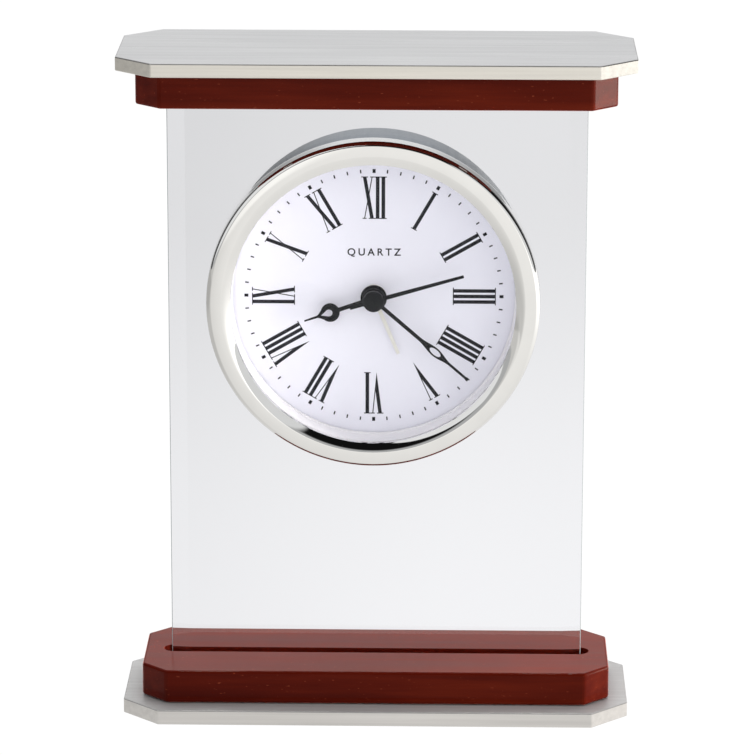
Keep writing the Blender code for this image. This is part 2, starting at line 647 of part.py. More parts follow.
def build_train(mats, places, phases):
    """The wheels, in order from the rotor to the alarm wheel."""
    plastic, brass = mats["gear_plastic"], mats["brass"]
    behind = WHEEL_THICKNESS + 0.2
    wheel("rotor", mats["magnet"], places["rotor"],
          solid_arbor(ARBOR, LAYER_ROTOR - 0.5, BRIDGE_BACK + 0.7,
                      LAYER_ROTOR - 0.1, LAYER_ROTOR + 0.8, 0.7)[:-2]
          + [(ARBOR, BRIDGE_BACK + 0.6), (2.7, BRIDGE_BACK + 0.6), (2.7, BRIDGE_BACK + 2.2),
             (0.0, BRIDGE_BACK + 2.2)],
          [(LEAVES, TRAIN_MODULE, phases["rotor"], LAYER_ROTOR)])
    wheel("intermediate_wheel", plastic, places["intermediate"],
          solid_arbor(ARBOR, LAYER_CANNON, BRIDGE_BACK - 0.3,
                      LAYER_SECONDS - 0.2, LAYER_ROTOR + behind, 0.8),
          [(LEAVES, TRAIN_MODULE, phases["intermediate_leaves"], LAYER_SECONDS),
           (INTERMEDIATE_TEETH, TRAIN_MODULE, phases["intermediate"], LAYER_ROTOR)])
    wheel("seconds_wheel", plastic, places["centre"],
          solid_arbor(0.7, SECOND_HAND_Y - 0.2, BRIDGE_BACK - 0.3,
                      LAYER_THIRD - 0.2, LAYER_SECONDS + behind, 0.85),
          [(LEAVES, TRAIN_MODULE, phases["seconds_leaves"], LAYER_THIRD),
           (SECONDS_TEETH, TRAIN_MODULE, phases["seconds"], LAYER_SECONDS)])
    centre_module = TRAIN_MODULE * (LEAVES + THIRD_TEETH) / (LEAVES + CENTRE_TEETH)
    wheel("third_wheel", plastic, places["third"],
          solid_arbor(ARBOR, LAYER_CENTRE - 0.7, BRIDGE_BACK - 0.3,
                      LAYER_CENTRE - 0.2, LAYER_THIRD + behind, 0.75),
          [(LEAVES, centre_module, phases["third_leaves"], LAYER_CENTRE),
           (THIRD_TEETH, TRAIN_MODULE, phases["third"], LAYER_THIRD)])
    wheel("centre_wheel", plastic, places["centre"],
          sleeve(2.6, 1.75, LAYER_CENTRE - 0.05, LAYER_CENTRE + behind),
          [(CENTRE_TEETH, centre_module, phases["centre"], LAYER_CENTRE)])
    wheel("cannon_pinion", brass, places["centre"],
          [(1.45, MINUTE_HAND_Y - 0.1), (1.45, LAYER_CENTRE + 0.8), (1.0, LAYER_CENTRE + 0.8),
           (1.0, MINUTE_HAND_Y - 0.1)],
          [(CANNON_LEAVES, WORKS_MODULE, phases["cannon"], LAYER_CANNON)])
    hour_module = WORKS_MODULE * (CANNON_LEAVES + WORKS_TEETH) / (WORKS_LEAVES + HOUR_TEETH)
    wheel("minute_works_wheel", plastic, places["works"],
          solid_arbor(ARBOR, PLATE_BACK + GAP, LAYER_CENTRE - GAP,
                      LAYER_HOUR - 0.2, LAYER_CENTRE - 0.35, 1.1),
          [(WORKS_LEAVES, hour_module, phases["works_leaves"], LAYER_HOUR),
           (WORKS_TEETH, WORKS_MODULE, phases["works"], LAYER_CANNON)])
    wheel("hour_wheel", plastic, places["centre"],
          sleeve(2.15, 1.75, HOUR_HAND_Y - 0.1, LAYER_HOUR + WHEEL_THICKNESS + 0.1),
          [(HOUR_TEETH, hour_module, phases["hour"], LAYER_HOUR)])
    wheel("alarm_wheel", plastic, places["centre"],
          sleeve(2.9, 2.45, ALARM_HAND_Y - 0.1, LAYER_ALARM + WHEEL_THICKNESS + 0.1),
          [(ALARM_TEETH, ALARM_MODULE, phases["alarm"], LAYER_ALARM)])


def build_movement(mats, places):
    """Plate, housing, bridge and the electric parts."""
    x, z = AXIS_X, AXIS_Z
    plastic = mats["black_plastic"]
    plate = place("movement_plate", ring(BORE_RADIUS - GAP, DIAL_HOLE, PLATE_FRONT, PLATE_BACK), plastic, x, z)
    for across, up in ((-24.4, 22.6), (24.4, 22.6), (-24.4, -7.6), (24.4, -7.6)):
        pillar = rod(1.6, PLATE_BACK - 0.5, BRIDGE_FRONT - GAP, 16)
        join(plate, place("pillar", pillar, plastic, x + across, z + up))
    posts = {"third": LAYER_CENTRE - 0.7, "intermediate": LAYER_CANNON, "rotor": LAYER_ROTOR - 0.5}
    for spot, arbor_front in posts.items():
        across, up = places[spot]
        post = rod(1.3, PLATE_BACK - 0.5, arbor_front - GAP, 12)
        join(plate, place("post", post, plastic, x + across, z + up))

    outer = rectangle(-HOUSING_HALF, -HOUSING_HALF, HOUSING_HALF, HOUSING_HALF)
    inside = HOUSING_HALF - HOUSING_WALL
    upper = rectangle(-inside, DIVIDER_Z + HOUSING_WALL / 2, inside, inside)
    lower = rectangle(-inside, -inside, inside, DIVIDER_Z - HOUSING_WALL / 2)
    frame = extruded(outer, PLATE_BACK + GAP, HOUSING_BACK, (upper, lower))
    place("movement_housing", frame, plastic, x, z)

    floor = DIVIDER_Z + HOUSING_WALL / 2 + GAP
    clearances = {"rotor": 0.9, "intermediate": 0.8, "centre": 1.0, "third": 0.8, "time_knob": 1.6,
                  "alarm_knob": 1.6}
    pivots = [circle(radius, 16, *places[spot]) for spot, radius in clearances.items()]
    bay = rectangle(-inside + GAP, floor, inside - GAP, inside - GAP)
    place("train_bridge", extruded(bay, BRIDGE_FRONT, BRIDGE_BACK, pivots), mats["gear_plastic"], x, z)

    rotor_x, rotor_z = places["rotor"]
    stator_outline = rectangle(rotor_x - 5.6, rotor_z - 4.4, rotor_x + 6.0, rotor_z + 10.0)
    stator_front = BRIDGE_BACK + 0.8
    stator_hole = circle(3.6, 24, rotor_x, rotor_z)
    stator = extruded(stator_outline, stator_front, stator_front + 1.2, (stator_hole,))
    place("stator", stator, mats["steel"], x, z)
    coil = turned([(1.0, -9.0), (1.0, 9.0), (2.9, 9.0), (2.9, 8.2), (2.4, 8.0), (2.4, -8.0), (2.9, -8.2),
                   (2.9, -9.0)], 20)
    coil_object = place("coil", coil, mats["copper"], x - 23.6, z + rotor_z + 1.0)
    coil_object.rotation_euler = (math.pi / 2, 0.0, 0.0)
    coil_object.location.y = (BRIDGE_BACK + GAP + 2.95) * MM

    shafts = [circle(1.8, 16, *places[knob]) for knob in ("time_knob", "alarm_knob")]
    board = rectangle(BOARD_LEFT, floor, inside - GAP, inside - GAP)
    place("circuit_board", extruded(board, BOARD_FRONT, BOARD_FRONT + 0.8, shafts), mats["board"], x, z)
    can = place("quartz_can", rod(0.9, -3.0, 3.0, 12), mats["steel"], x - 10.0, z + 2.0)
    can.rotation_euler = (0.0, 0.0, math.pi / 2)
    can.location.y = (BOARD_FRONT + 0.8 + GAP + 0.9) * MM
    sounder = ring(6.6, 0.9, BOARD_FRONT + 1.3, BOARD_FRONT + 2.3, 32)
    place("sounder", sounder, mats["brass"], x + 18.0, z + 18.6)


def build_cell(mats):
    """AA cell lying along X, its spring and its contact plate."""
    x, z = AXIS_X, AXIS_Z
    half = CELL_LENGTH / 2
    profile = [(0.0, -half), (CELL_RADIUS - 0.4, -half), (CELL_RADIUS, -half + 0.5),
               (CELL_RADIUS, half - 1.9), (CELL_RADIUS - 0.5, half - 1.4), (2.7, half - 1.4),
               (2.7, half), (0.0, half)]
    cell = place("battery", turned(profile, 32), mats["cell"])
    cell.rotation_euler = (0.0, 0.0, -math.pi / 2)
    cell.location = ((x + 0.6) * MM, CELL_Y * MM, (z + CELL_Z) * MM)

    inside = HOUSING_HALF - HOUSING_WALL
    plate = extruded(rectangle(-5.0, -5.0, 5.0, 5.0), 0.0, 0.5)
    contact = place("contact_plate", plate, mats["steel"])
    contact.rotation_euler = (0.0, 0.0, math.pi / 2)
    contact.location = ((x + inside - GAP) * MM, CELL_Y * MM, (z + CELL_Z) * MM)
    start, end = -inside + 0.65, -half + 0.6 - 0.65
    path = []
    for step in range(37):
        share = step / 36
        angle = 3.0 * math.tau * share
        radius = 4.6 - 2.0 * share
        path.append((start + (end - start) * share, radius * math.cos(angle), radius * math.sin(angle)))
    spring = place("contact_spring", tube(path, 0.3), mats["steel"], x, z + CELL_Z)
    spring.location.y = CELL_Y * MM


def hand_outline(reach, width_at, tail, count):
    """Symmetric outline of a hand along +Z, from its half-width at each distance."""
    stations = [-tail + (reach + tail) * step / count for step in range(count + 1)]
    left = [(-width_at(s), s) for s in stations]
    right = [(width_at(s), s) for s in reversed(stations)]
    return left + right


def disc_width(distance, centre, radius):
    """Half-width of a disc at a distance along the hand, or zero outside it."""
    inside = radius ** 2 - (distance - centre) ** 2
    return math.sqrt(inside) if inside > 0.0 else 0.0


def ellipse(half_width, half_length, centre, count=20):
    angles = [math.tau * step / count for step in range(count)]
    return [(half_width * math.cos(angle), centre + half_length * math.sin(angle)) for angle in angles]


def blend_widths(distance, stations):
    """Half-width between (distance, half-width) stations, on straight lines."""
    for (near, wide), (far, narrow) in zip(stations, stations[1:]):
        if distance <= far:
            share = max(distance - near, 0.0) / (far - near)
            return wide + (narrow - wide) * share
    return stations[-1][1]


def hour_width(distance):
    stem = blend_widths(distance, [(0.0, 0.62), (13.8, 0.62), (15.9, 1.5), (18.0, 0.34), (22.0, 0.23)])
    return max(stem, disc_width(distance, 13.8, 2.85))


def minute_width(distance):
    return blend_widths(distance, [(0.0, 0.58), (18.3, 0.54), (24.5, 1.5), (30.3, 0.38), (37.8, 0.36)])


def second_width(distance):
    return 0.7 if distance < 0.0 else 0.68 - 0.0085 * distance


def alarm_width(distance):
    return 0.62 - 0.006 * distance


def build_hands(mats):
    """The four hands, stacked on their tubes, each turned to the time shown."""
    hands = [
        ("alarm_hand", "grey_hand", ALARM_ANGLE, ALARM_HAND_Y, 19.0, 0.0, 4, alarm_width,
         None, 3.8, 3.2, 0.7),
        ("hour_hand", "black_hand", HOUR_ANGLE, HOUR_HAND_Y, 22.0, 0.0, 44, hour_width,
         ellipse(1.05, 1.6, 14.5), 3.9, 2.45, 0.9),
        ("minute_hand", "black_hand", MINUTE_ANGLE, MINUTE_HAND_Y, 37.8, 0.0, 40, minute_width,
         ellipse(0.85, 1.7, 24.5), 3.4, 1.75, 0.8),
        ("second_hand", "black_hand", SECOND_ANGLE, SECOND_HAND_Y, 28.0, 7.4, 14, second_width,
         None, 3.1, 1.0, 0.8),
    ]
    for name, mat, angle, layer, reach, tail, stations, width, eye, hub, bore, boss in hands:
        holes = (eye,) if eye else ()
        outline = hand_outline(reach, width, tail, stations)
        flat = extruded(outline, layer, layer + HAND_THICKNESS, holes)
        hand = place(name, flat, mats[mat], AXIS_X, AXIS_Z, angle)
        join(hand, place("hub", rod(hub, layer - 0.1, layer + boss), mats[mat], AXIS_X, AXIS_Z, angle))
        if name == "second_hand":
            cap = turned([(0.0, layer - 1.2), (1.9, layer - 1.1), (2.7, layer - 0.7), (2.9, layer - 0.05),
                          (2.9, layer + 0.2), (0.0, layer + 0.2)], 24)
            join(hand, place("cap", cap, mats[mat], AXIS_X, AXIS_Z, angle))
            hole = rod(bore, layer - 0.5, layer + 3.0, 24)
        else:
            hole = rod(bore, layer - 2.0, layer + 3.0, 24)
        cut(hand, place("bore", hole, mats[mat], AXIS_X, AXIS_Z, angle))


def main():
    clear_scene()
    mats = make_materials()
    places, phases = train_layout()
    build_stand(mats)
    build_glass(mats)
    build_case(mats)
    build_cover(mats, places)
    build_movement(mats, places)
    build_cell(mats)
    build_train(mats, places, phases)
    build_knobs(mats, places, phases)
    build_hands(mats)


main()
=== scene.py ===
"""Looks of the glass and wood table clock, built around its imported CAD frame. Sizes are in metres."""
import json
import math

import bmesh
import bpy
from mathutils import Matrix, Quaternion, Vector


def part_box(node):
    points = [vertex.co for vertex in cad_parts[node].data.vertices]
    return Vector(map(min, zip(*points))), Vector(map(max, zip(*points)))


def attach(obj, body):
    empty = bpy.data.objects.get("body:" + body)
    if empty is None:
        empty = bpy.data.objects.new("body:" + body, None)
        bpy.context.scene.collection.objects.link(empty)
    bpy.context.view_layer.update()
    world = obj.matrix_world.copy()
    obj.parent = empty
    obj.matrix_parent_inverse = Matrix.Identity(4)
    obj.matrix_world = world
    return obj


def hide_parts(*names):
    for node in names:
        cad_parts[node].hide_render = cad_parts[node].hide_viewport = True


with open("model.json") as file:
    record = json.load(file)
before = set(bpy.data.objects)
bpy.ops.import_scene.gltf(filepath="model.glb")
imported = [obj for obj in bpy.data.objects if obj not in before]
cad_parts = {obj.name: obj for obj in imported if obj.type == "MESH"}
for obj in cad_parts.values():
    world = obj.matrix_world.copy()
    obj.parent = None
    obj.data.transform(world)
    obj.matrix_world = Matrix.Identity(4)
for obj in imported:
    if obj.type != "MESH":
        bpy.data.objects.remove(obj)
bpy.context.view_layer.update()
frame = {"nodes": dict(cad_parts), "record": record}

MM = 0.001

# Camera
VIEW_AZIMUTH = math.radians(0.994)
VIEW_ELEVATION = math.radians(14.883)
VIEW_ROLL = math.radians(0.12)
VIEW_DISTANCE = 1.26808
VIEW_TARGET = Vector((0.0002, 0.0, 0.10247))
LENS = 200.96
SENSOR_WIDTH = 36.0

# Places read from the frame
DIAL_LOW, DIAL_HIGH = (Vector(corner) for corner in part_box("dial"))
AXIS = (DIAL_LOW + DIAL_HIGH) / 2
DIAL_FRONT = DIAL_LOW.y

# Clock insert. The shoulder rolls through bends of (from, to, radius), with angles in degrees.
DIAL_OPENING = 42.5 * MM
DIAL_HOLE = 3.3 * MM
WALL_DEPTH = 6.3 * MM
SHOULDER_REACH = 1.53 * MM
SHOULDER_BENDS = ((0.0, 27.0, 0.8 * MM), (27.0, 60.0, 2.2 * MM), (60.0, 90.0, 0.8 * MM))
DRUM_WALL = 1.6 * MM
TURNED_STEPS = 128
LARGE_TURNED_STEPS = 192
HUB_STEPS = 64
BEND_STEPS = 6

# Printing on the dial. A mark is (half-width, half-length).
TRACK_RADIUS = 38.3 * MM
NUMERAL_FOOT = 23.7 * MM
NUMERAL_HEAD = 36.6 * MM
THICK_STROKE = 1.07 * MM
THIN_STROKE = 0.28 * MM
SERIF_REACH = 0.46 * MM
BAR_PITCH = 1.7 * MM
WIDE_LETTER = 3.85 * MM
LETTER_MARGIN = 0.8 * MM
PRINT_DEPTH = 0.03 * MM
LAYER_LIFT = 0.002 * MM
STROKE_LIFT = 0.001 * MM
STROKE_LEVELS = 7
NUMERALS = ("XII", "I", "II", "III", "IIII", "V", "VI", "VII", "VIII", "IX", "X", "XI")
HOUR_MARK = (0.46 * MM, 0.6 * MM)
MINUTE_MARK = (0.2 * MM, 0.55 * MM)
WORD_SIZE = 3.1 * MM
WORD_HEIGHT = 13.4 * MM

# Clock angles of the hands, in degrees
HOUR_ANGLE = 251.0
MINUTE_ANGLE = 131.0
SECOND_ANGLE = 74.0
ALARM_ANGLE = 157.0

# Glass panel
GLASS_HOLE = 45.2 * MM
GLASS_BEVEL_WIDTH = 5.4 * MM
GLASS_BEVEL_DEPTH = 1.3 * MM
GLASS_ARRIS = 0.3 * MM

# Values between which a noise mostly stays
NOISE_LOW = 0.3
NOISE_HIGH = 0.7

# Floor
FLOOR_REACH = 8.0
WHITE = (1.0, 1.0, 1.0, 1.0)


# ---------------------------------------------------------------------------------------------
# Materials
# ---------------------------------------------------------------------------------------------

class Look:
    """A Principled material and short ways to add nodes to it."""

    def __init__(self, name, **values):
        self.material = bpy.data.materials.new(name)
        self.material.use_nodes = True
        self.tree = self.material.node_tree
        self.shader = self.tree.nodes["Principled BSDF"]
        for key, value in values.items():
            self.shader.inputs[key.replace("_", " ")].default_value = value

    def node(self, kind, **settings):
        """New node with the given settings."""
        made = self.tree.nodes.new(kind)
        for key, value in settings.items():
            setattr(made, key, value)
        return made

    def link(self, source, target):
        self.tree.links.new(source, target)

    def place(self, stretch=(1.0, 1.0, 1.0)):
        """Object coordinates, scaled per axis."""
        coordinates = self.node("ShaderNodeTexCoord")
        mapping = self.node("ShaderNodeMapping")
        mapping.inputs["Scale"].default_value = stretch
        self.link(coordinates.outputs["Object"], mapping.inputs["Vector"])
        return mapping.outputs["Vector"]

    def noise(self, scale, stretch=(1.0, 1.0, 1.0), detail=4.0, roughness=0.55):
        """Noise in object coordinates."""
        made = self.node("ShaderNodeTexNoise")
        made.inputs["Scale"].default_value = scale
        made.inputs["Detail"].default_value = detail
        made.inputs["Roughness"].default_value = roughness
        self.link(self.place(stretch), made.inputs["Vector"])
        return made.outputs["Fac"]

    def ramp(self, source, *stops):
        """Colour of a source from (position, colour) stops."""
        made = self.node("ShaderNodeValToRGB")
        ramp = made.color_ramp
        while len(ramp.elements) < len(stops):
            ramp.elements.new(0.5)
        for element, (position, colour) in zip(ramp.elements, stops):
            element.position = position
            element.color = (*colour, 1.0)
        self.link(source, made.inputs["Fac"])
        return made.outputs["Color"]

    def drift(self, source, dark, light):
        """Colour that follows a noise from dark to light."""
        return self.ramp(source, (NOISE_LOW, dark), (NOISE_HIGH, light))

    def span(self, source, low, high):
        """Number that follows a noise from low to high."""
        made = self.node("ShaderNodeMapRange")
        ends = (("From Min", NOISE_LOW), ("From Max", NOISE_HIGH), ("To Min", low), ("To Max", high))
        for key, value in ends:
            made.inputs[key].default_value = value
        self.link(source, made.inputs["Value"])
        return made.outputs["Result"]

    def mix(self, factor, first, second, blend="MIX"):
        """Mixed colour. Each input is a socket, a colour or a number."""
        made = self.node("ShaderNodeMix", data_type="RGBA", blend_type=blend)
        self.feed(made.inputs[0], factor)
        self.feed(made.inputs[6], first)
        self.feed(made.inputs[7], second)
        return made.outputs[2]

    def feed(self, socket, value):
        if isinstance(value, bpy.types.NodeSocket):
            self.link(value, socket)
        elif isinstance(value, tuple):
            socket.default_value = (*value, 1.0)
        else:
            socket.default_value = value

    def bump(self, height, distance, strength):
        """Fine relief from a height socket."""
        made = self.node("ShaderNodeBump")
        made.inputs["Distance"].default_value = distance
        made.inputs["Strength"].default_value = strength
        self.link(height, made.inputs["Height"])
        self.link(made.outputs["Normal"], self.shader.inputs["Normal"])

    def level(self):
        """1 on faces that look up, 0 on upright ones, and in between on the eased edges above them."""
        coordinates = self.node("ShaderNodeTexCoord")
        split = self.node("ShaderNodeSeparateXYZ")
        self.link(coordinates.outputs["Normal"], split.inputs[0])
        return split.outputs["Z"]

    def colour(self, source):
        self.link(source, self.shader.inputs["Base Color"])

    def roughness(self, source):
        self.link(source, self.shader.inputs["Roughness"])


def brushed_nickel(name, dark, light, smooth, rough, metallic, side, arris, top):
    """Metal brushed along x. Its sides, eased edges and top each get their own tint by which way they face,
    which is painted light and shade: sides lighter than the top, eased edges darkest.
    """
    look = Look(name, Metallic=metallic)
    lines = look.noise(1400.0, (0.012, 1.0, 1.0), 3.0, 0.6)
    broad = look.noise(26.0, (0.4, 1.0, 1.0), 2.0)
    strands = look.noise(650.0, (0.02, 1.0, 1.0), 2.0, 0.6)
    streaks = look.ramp(strands, (0.32, (0.93, 0.93, 0.93)), (0.68, (1.04, 1.04, 1.04)))
    metal = look.mix(1.0, look.drift(broad, dark, light), streaks, "MULTIPLY")
    # Painted light and shade: a tint by which way the face looks, lighter on the sides, darker on the top and
    # darkest on the eased edges.
    tint = look.ramp(look.level(), (0.1, side), (0.35, arris), (0.75, arris), (0.97, top))
    look.colour(look.mix(1.0, metal, tint, "MULTIPLY"))
    look.roughness(look.span(lines, smooth, rough))
    look.bump(lines, 0.000004, 0.6)
    return look.material


def rosewood():
    """Dark red wood under clear lacquer, with fine grain along x and sparse pale flecks."""
    look = Look("rosewood_lacquer", IOR=1.1, Coat_Weight=1.0, Coat_Roughness=0.06, Coat_IOR=1.12,
                Sheen_Weight=0.5, Sheen_Roughness=0.25)
    look.shader.inputs["Sheen Tint"].default_value = (1.0, 0.16, 0.08, 1.0)
    look.shader.inputs["Specular Tint"].default_value = (1.0, 0.6, 0.25, 1.0)
    grain = look.noise(260.0, (0.05, 1.0, 1.0), 5.0, 0.6)
    cloud = look.noise(30.0, (0.5, 1.0, 1.0), 3.0)
    pores = look.noise(2300.0, (0.3, 1.0, 1.0), 1.0, 0.4)
    figure = look.noise(75.0, (0.12, 1.0, 1.0), 4.0, 0.6)
    wood = look.ramp(grain, (0.3, (0.040, 0.0018, 0.0009)), (0.5, (0.054, 0.0030, 0.0013)),
                     (0.72, (0.074, 0.0054, 0.0020)))
    streaked = look.ramp(figure, (0.35, (0.84, 0.74, 0.8)), (0.65, (1.15, 1.35, 1.1)))
    wood = look.mix(1.0, wood, streaked, "MULTIPLY")
    mottled = look.drift(cloud, (0.84, 0.78, 0.85), (1.14, 1.3, 1.15))
    flecks = look.ramp(pores, (0.74, (0.0, 0.0, 0.0)), (0.80, (1.0, 1.0, 1.0)))
    body = look.mix(1.0, wood, mottled, "MULTIPLY")
    look.colour(look.mix(flecks, body, (0.15, 0.03, 0.014)))
    look.roughness(look.span(grain, 0.34, 0.46))
    look.bump(pores, 0.00001, 0.2)
    return look.material


def polished_chrome():
    """Mirror metal with a faint drift of colour and polish."""
    look = Look("polished_chrome", Metallic=1.0)
    wear = look.noise(90.0, (1.0, 1.0, 1.0), 3.0)
    look.colour(look.drift(wear, (0.85, 0.845, 0.83), (0.885, 0.88, 0.865)))
    look.roughness(look.span(wear, 0.025, 0.05))
    return look.material


def clear_glass(name, tint, ior):
    """Solid glass that lets lamps through, with a faint drift in its tint."""
    look = Look(name, Roughness=0.0, IOR=ior, Transmission_Weight=1.0)
    haze = look.noise(14.0, (1.0, 1.0, 1.0), 1.0)
    low = tuple(channel * 0.99 for channel in tint)
    look.colour(look.drift(haze, low, tint))
    path = look.node("ShaderNodeLightPath")
    through = look.node("ShaderNodeBsdfTransparent")
    through.inputs["Color"].default_value = (0.93, 0.94, 0.95, 1.0)
    choice = look.node("ShaderNodeMixShader")
    output = look.tree.nodes["Material Output"]
    look.link(path.outputs["Is Shadow Ray"], choice.inputs[0])
    look.link(look.shader.outputs[0], choice.inputs[1])
    look.link(through.outputs[0], choice.inputs[2])
    look.link(choice.outputs[0], output.inputs["Surface"])
    return look.material


def plain(name, dark, light, low, high, scale=300.0, metallic=0.0, depth=0.0, stretch=(1.0, 1.0, 1.0),
          **more):
    """Material with a fine drift of colour, and of roughness from low to high.
    It has a fine relief if a depth is given."""
    look = Look(name, Metallic=metallic, **more)
    fine = look.noise(scale, stretch, 4.0)
    look.colour(look.drift(fine, dark, light))
    look.roughness(look.span(fine, low, high))
    if depth:
        look.bump(fine, depth, 0.6)
    return look.material


def make_looks():
    """Materials by record slot, and four more: ground edges, crystal, ink and a copy of the plate metal for
    the base plate, darker by painted shade.
    """
    return {
        # The side, arris and top tints are painted light and shade by which way a face looks, not colours of
        # the metal.
        "brushed_plate": brushed_nickel(
            "brushed_nickel", (0.74, 0.73, 0.715), (0.82, 0.81, 0.79), 0.27, 0.38, 1.0,
            side=(1.07, 1.045, 0.985), arris=(0.72, 0.7, 0.68), top=(0.96, 0.965, 0.985)),
        # Duller copy for the base plate: less metallic and rougher, and darker, which is painted shade.
        "brushed_base_painted_shade": brushed_nickel(
            "brushed_nickel_base_painted_shade", (0.585, 0.575, 0.56), (0.66, 0.65, 0.635), 0.48, 0.6, 0.6,
            side=(0.94, 0.925, 0.91), arris=(0.5, 0.5, 0.5), top=(0.81, 0.83, 0.855)),
        "rosewood": rosewood(),
        "panel_glass": clear_glass("panel_glass", (0.965, 0.968, 0.975), 1.5),
        "ground_glass": plain("ground_glass", (0.20, 0.22, 0.23), (0.30, 0.32, 0.33), 0.4, 0.6, 2500.0),
        "crystal": clear_glass("crystal_glass", (0.99, 0.99, 0.995), 1.14),
        "black_rubber": plain("black_rubber", (0.012, 0.012, 0.012), (0.022, 0.022, 0.022), 0.7, 0.9, 900.0,
                              depth=0.00004),
        "clear_seat": plain("clear_seat", (0.11, 0.02, 0.014), (0.14, 0.026, 0.018), 0.5, 0.7),
        "screw_steel": plain("zinc_steel", (0.50, 0.50, 0.50), (0.62, 0.62, 0.60), 0.25, 0.4, 700.0, 1.0),
        "polished_chrome": polished_chrome(),
        "pale_ring": plain("pale_ring", (0.90, 0.89, 0.91), (0.94, 0.93, 0.95), 0.3, 0.4, 500.0),
        "white_dial": plain("white_dial", (0.835, 0.835, 0.915), (0.85, 0.85, 0.93), 0.5, 0.6, 1500.0,
                            IOR=1.2),
        "ink": plain("dial_ink", (0.016, 0.016, 0.020), (0.026, 0.026, 0.031), 0.4, 0.55, 2500.0, IOR=1.2),
        "silver_drum": plain("silver_drum", (0.172, 0.204, 0.248), (0.202, 0.235, 0.28), 0.28, 0.34, 900.0,
                             1.0, stretch=(1.0, 0.05, 1.0)),
        "black_plastic": plain("black_plastic", (0.014, 0.014, 0.015), (0.022, 0.022, 0.023), 0.42, 0.56,
                               1400.0, depth=0.00003),
        "gear_plastic": plain("gear_plastic", (0.66, 0.64, 0.58), (0.74, 0.72, 0.66), 0.35, 0.5, 500.0),
        "bonded_magnet": plain("bonded_magnet", (0.03, 0.03, 0.03), (0.05, 0.05, 0.05), 0.5, 0.7, 900.0),
        "brass": plain("brass", (0.70, 0.48, 0.18), (0.78, 0.55, 0.22), 0.2, 0.34, 600.0, 1.0),
        "coil_copper": plain("coil_copper", (0.40, 0.11, 0.03), (0.62, 0.22, 0.07), 0.25, 0.4, 2600.0, 0.7,
                             depth=0.00008, stretch=(0.1, 0.1, 1.0)),
        "circuit_board": plain("circuit_board", (0.010, 0.10, 0.035), (0.016, 0.15, 0.05), 0.3, 0.45, 700.0),
        "black_hand": plain("black_hand", (0.010, 0.011, 0.012), (0.017, 0.018, 0.020), 0.22, 0.34, 1800.0,
                            IOR=1.25),
        "grey_hand": plain("grey_hand", (0.70, 0.69, 0.64), (0.77, 0.76, 0.71), 0.3, 0.45, 1800.0),
        "grey_plastic": plain("grey_plastic", (0.50, 0.50, 0.49), (0.58, 0.58, 0.57), 0.4, 0.5, 900.0),
        "cell_wrap": plain("cell_wrap", (0.02, 0.03, 0.09), (0.03, 0.045, 0.13), 0.22, 0.34, 400.0),
    }


# ---------------------------------------------------------------------------------------------
# Mesh helpers: x to the right, y to the back, z up
# ---------------------------------------------------------------------------------------------

def piece(name, bm, material, sharp=32.0):
    """Turn a bmesh in metres into an object at the origin, smooth up to an angle in degrees."""
    bmesh.ops.remove_doubles(bm, verts=bm.verts, dist=1e-8)
    bmesh.ops.recalc_face_normals(bm, faces=bm.faces)
    mesh = bpy.data.meshes.new(name)
    bm.to_mesh(mesh)
    bm.free()
    mesh.materials.append(material)
    mesh.shade_smooth()
    mesh.set_sharp_from_angle(angle=math.radians(sharp))
    obj = bpy.data.objects.new(name, mesh)
    bpy.context.scene.collection.objects.link(obj)
    return obj


def circle(radius, count):
    """Points (x, z) of a circle about the clock's axis."""
    angles = [math.tau * step / count for step in range(count)]
    return [(AXIS.x + radius * math.cos(a), AXIS.z + radius * math.sin(a)) for a in angles]


def turned(bm, profile, segments):
    """Spin a closed profile of (radius, y) points about the clock's axis. A radius of zero is a pole."""
    loops = []
    for radius, y in profile:
        points = circle(radius, segments if radius > 0.0 else 1)
        loops.append([bm.verts.new((x, y, z)) for x, z in points])
    for loop, following in zip(loops, loops[1:] + loops[:1]):
        if len(loop) == 1 and len(following) == 1:
            continue
        for step in range(segments):
            after = (step + 1) % segments
            if len(loop) == 1:
                bm.faces.new((loop[0], following[step], following[after]))
            elif len(following) == 1:
                bm.faces.new((loop[step], following[0], loop[after]))
            else:
                bm.faces.new((loop[step], following[step], following[after], loop[after]))


def arc(centre, radius, start, end, count):
    """Arc of a (radius, y) profile, with angles in degrees from outward towards the back."""
    angles = [math.radians(start + (end - start) * step / count) for step in range(count + 1)]
    return [(centre[0] + radius * math.cos(a), centre[1] + radius * math.sin(a)) for a in angles]


def prism(bm, outline, start, end, holes=()):
    """Flat outline of (x, z) points with holes, extruded along y."""
    edges = []
    first_verts = []
    for loop in (outline, *holes):
        verts = [bm.verts.new((u, start, v)) for u, v in loop]
        first_verts += verts
        edges += [bm.edges.new(pair) for pair in zip(verts, verts[1:] + verts[:1])]
    if holes:
        filled = bmesh.ops.triangle_fill(bm, use_beauty=True, edges=edges)["geom"]
        faces = [item for item in filled if isinstance(item, bmesh.types.BMFace)]
    else:
        faces = [bm.faces.new(first_verts)]
    region = bmesh.ops.extrude_face_region(bm, geom=faces)["geom"]
    moved = [item for item in region if isinstance(item, bmesh.types.BMVert)]
    bmesh.ops.translate(bm, vec=(0.0, end - start, 0.0), verts=moved)


def pierced_face(bm, corners, rim):
    """Flat face between an outer loop of corners and the rim of a hole."""
    edges = []
    for verts in (corners, rim):
        edges += [bm.edges.get(pair) or bm.edges.new(pair) for pair in zip(verts, verts[1:] + verts[:1])]
    bmesh.ops.triangle_fill(bm, use_beauty=True, edges=edges)


def soften(obj, width, angle):
    """Ease the edges where the faces turn by more than an angle in degrees."""
    bevel = obj.modifiers.new("Bevel", "BEVEL")
    bevel.width = width
    bevel.segments = 2
    bevel.limit_method = "ANGLE"
    bevel.angle_limit = math.radians(angle)
    bevel.harden_normals = True


